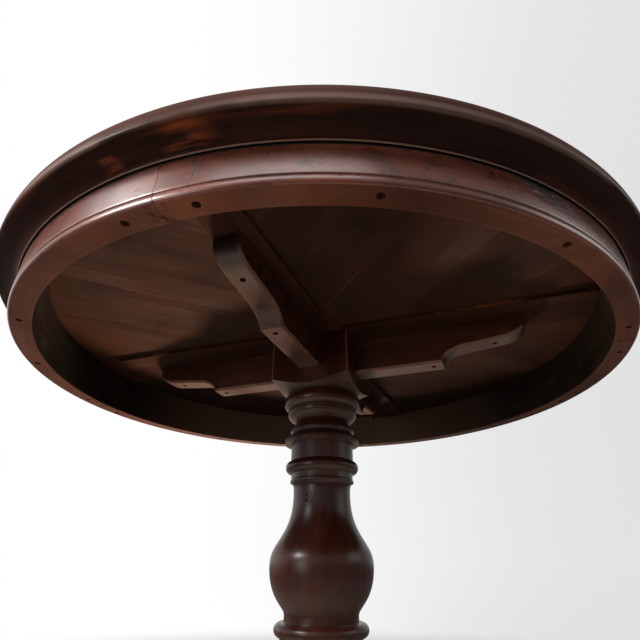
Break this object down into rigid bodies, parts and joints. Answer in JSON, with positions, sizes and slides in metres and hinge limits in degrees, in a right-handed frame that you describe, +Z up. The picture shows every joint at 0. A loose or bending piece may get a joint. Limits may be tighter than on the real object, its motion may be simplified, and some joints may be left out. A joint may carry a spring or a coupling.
{
  "type": "round dining table",
  "caption": "Round pedestal dining table: boarded top with a moulded edge and a deep apron ring, on bracket arms, a turned column and downswept legs.",
  "frame": {"origin": "on the floor under the column's axis, at the bottom centre of the bounding box", "axes": "+Z up; the bracket arms and the legs lie along X and Y, with -Y towards the viewer of the picture's near arm"},
  "size_m": [1.2, 1.2, 0.76],
  "materials": {
    "polished_wood": "polished",
    "turned_wood": "polished",
    "board_wood": "satin",
    "bracket_wood": "satin",
    "screw_steel": "dull"
  },
  "bodies": {
    "root": {"apron_far_left": "polished_wood", "apron_far_right": "polished_wood", "apron_near_left": "polished_wood", "apron_near_right": "polished_wood", "arm_far": "bracket_wood", "arm_left": "bracket_wood", "arm_near": "bracket_wood", "arm_right": "bracket_wood", "arm_screw_far_inner": "screw_steel", "arm_screw_far_outer": "screw_steel", "arm_screw_left_inner": "screw_steel", "arm_screw_left_outer": "screw_steel", "arm_screw_near_inner": "screw_steel", "arm_screw_near_outer": "screw_steel", "arm_screw_right_inner": "screw_steel", "arm_screw_right_outer": "screw_steel", "batten_cross_far": "bracket_wood", "batten_cross_near": "bracket_wood", "batten_long": "bracket_wood", "column": "turned_wood", "edge_moulding_far": "polished_wood", "edge_moulding_left": "polished_wood", "edge_moulding_near": "polished_wood", "edge_moulding_right": "polished_wood", "leg_far": "polished_wood", "leg_left": "polished_wood", "leg_near": "polished_wood", "leg_right": "polished_wood", "rim_screw_far_left_1": "screw_steel", "rim_screw_far_left_2": "screw_steel", "rim_screw_far_left_3": "screw_steel", "rim_screw_far_left_4": "screw_steel", "rim_screw_far_right_1": "screw_steel", "rim_screw_far_right_2": "screw_steel", "rim_screw_far_right_3": "screw_steel", "rim_screw_far_right_4": "screw_steel", "rim_screw_near_left_1": "screw_steel", "rim_screw_near_left_2": "screw_steel", "rim_screw_near_left_3": "screw_steel", "rim_screw_near_left_4": "screw_steel", "rim_screw_near_right_1": "screw_steel", "rim_screw_near_right_2": "screw_steel", "rim_screw_near_right_3": "screw_steel", "rim_screw_near_right_4": "screw_steel", "top_board_far_left_1": "board_wood", "top_board_far_left_2": "board_wood", "top_board_far_left_3": "board_wood", "top_board_far_left_4": "board_wood", "top_board_far_right_1": "board_wood", "top_board_far_right_2": "board_wood", "top_board_far_right_3": "board_wood", "top_board_far_right_4": "board_wood", "top_board_near_left_1": "board_wood", "top_board_near_left_2": "board_wood", "top_board_near_left_3": "board_wood", "top_board_near_left_4": "board_wood", "top_board_near_right_1": "board_wood", "top_board_near_right_2": "board_wood", "top_board_near_right_3": "board_wood", "top_board_near_right_4": "board_wood"}
  },
  "joints": []
}
